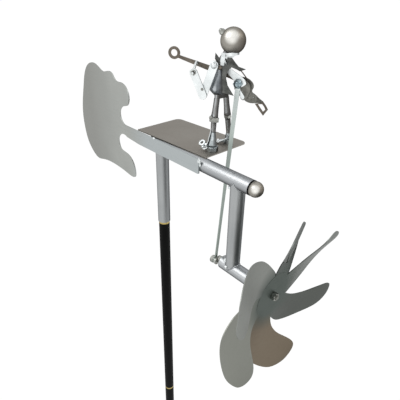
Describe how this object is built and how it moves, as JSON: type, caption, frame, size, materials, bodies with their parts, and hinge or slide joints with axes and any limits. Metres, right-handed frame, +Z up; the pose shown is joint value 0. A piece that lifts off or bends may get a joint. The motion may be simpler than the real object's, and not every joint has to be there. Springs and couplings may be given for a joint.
{
  "type": "garden windmill",
  "caption": "Garden windmill on a sectioned pole: a tail vane turns the head to the wind, and a propeller moves the arm of a welded steel musician through a crank and a rod.",
  "frame": {"origin": "where the pole meets the ground, on the pole's axis", "axes": "+Z up along the pole, +X along the boom towards the propeller, +Y across the boom to the platform's side"},
  "size_m": [0.4971, 0.2159, 1.7605],
  "materials": {
    "pole_black": "satin black coating",
    "ring_brass": "turned brass",
    "spike_steel": "plain turned steel",
    "bush_plastic": "turned slide plastic",
    "tube_steel": "satin stainless tube",
    "ball_steel": "polished steel ball, slightly dull",
    "vane_steel": "satin rolled sheet",
    "plate_steel": "dull rolled sheet",
    "blade_steel": "dull rolled sheet",
    "limb_steel": "oiled bar steel",
    "coat_steel": "dark oiled sheet",
    "strip_steel": "bright zinc strip",
    "instrument_steel": "brownish oiled sheet",
    "fastener_zinc": "zinc plated fasteners"
  },
  "bodies": {
    "stand": {"ground_spike": "spike_steel", "pole_lower": "pole_black", "pole_middle": "pole_black", "pole_upper": "pole_black", "pole_connector_lower": "ring_brass", "pole_connector_upper": "ring_brass", "pivot_spindle": "ring_brass", "pivot_ball": "spike_steel"},
    "head": {"thrust_plug": "bush_plastic", "sleeve_bushes": "bush_plastic", "yaw_sleeve": "tube_steel", "boom_tube": "tube_steel", "boom_rear_plug": "tube_steel", "boom_end_ball": "ball_steel", "strut_tube": "tube_steel", "hub_tube": "tube_steel", "hub_bushes": "bush_plastic", "tail_vane": "vane_steel", "platform": "plate_steel", "torso": "limb_steel", "hip_bar": "limb_steel", "neck_bolt": "limb_steel", "head_ball": "ball_steel", "nose_nut": "fastener_zinc", "collar": "strip_steel", "coat": "coat_steel", "lapel": "coat_steel", "shoulder_bar": "limb_steel", "right_shoulder_collar": "fastener_zinc", "left_shoulder_nut": "fastener_zinc", "left_upper_arm": "strip_steel", "left_forearm": "strip_steel", "left_hand_hook": "strip_steel", "instrument_neck": "instrument_steel", "instrument_body": "instrument_steel", "rivets": "fastener_zinc", "instrument_disc": "instrument_steel", "instrument_handle": "instrument_steel", "instrument_stud": "limb_steel", "left_thigh": "limb_steel", "left_shin": "limb_steel", "left_boot": "limb_steel", "right_thigh": "limb_steel", "right_shin": "limb_steel", "right_boot": "limb_steel", "knee_nuts": "fastener_zinc", "toe_nuts": "fastener_zinc"},
    "rotor": {"propeller_shaft": "fastener_zinc", "shaft_nuts": "fastener_zinc", "shaft_washers": "fastener_zinc", "crank_arm": "fastener_zinc", "propeller": "blade_steel"},
    "right_arm": {"right_upper_arm": "strip_steel", "right_forearm": "strip_steel", "elbow_bolt": "fastener_zinc", "elbow_nut": "fastener_zinc"},
    "rod": {"connecting_rod": "strip_steel", "crank_bolt": "fastener_zinc", "crank_nut": "fastener_zinc"}
  },
  "joints": [
    {"name": "head_yaw", "type": "hinge", "parent": "stand", "child": "head", "pos_m": [0, 0, 1.27], "axis": [0, 0, 1], "continuous": true},
    {"name": "propeller_spin", "type": "hinge", "parent": "head", "child": "rotor", "pos_m": [0.2, 0, 1.266], "axis": [1, 0, 0], "continuous": true},
    {"name": "arm_swing", "type": "hinge", "parent": "head", "child": "right_arm", "pos_m": [0.07643, 0.05274, 1.5296], "axis": [0.5736, -0.8192, 0], "range_deg": [-15, 18]},
    {"name": "rod_tilt", "type": "hinge", "parent": "right_arm", "child": "rod", "pos_m": [0.09167, 0.05975, 1.5007], "axis": [0.5736, -0.8192, 0], "range_deg": [-21, 18]}
  ],
  "couplings": [
    {"joint": "rod_tilt", "follows": "arm_swing", "ratio": -1.123}
  ]
}
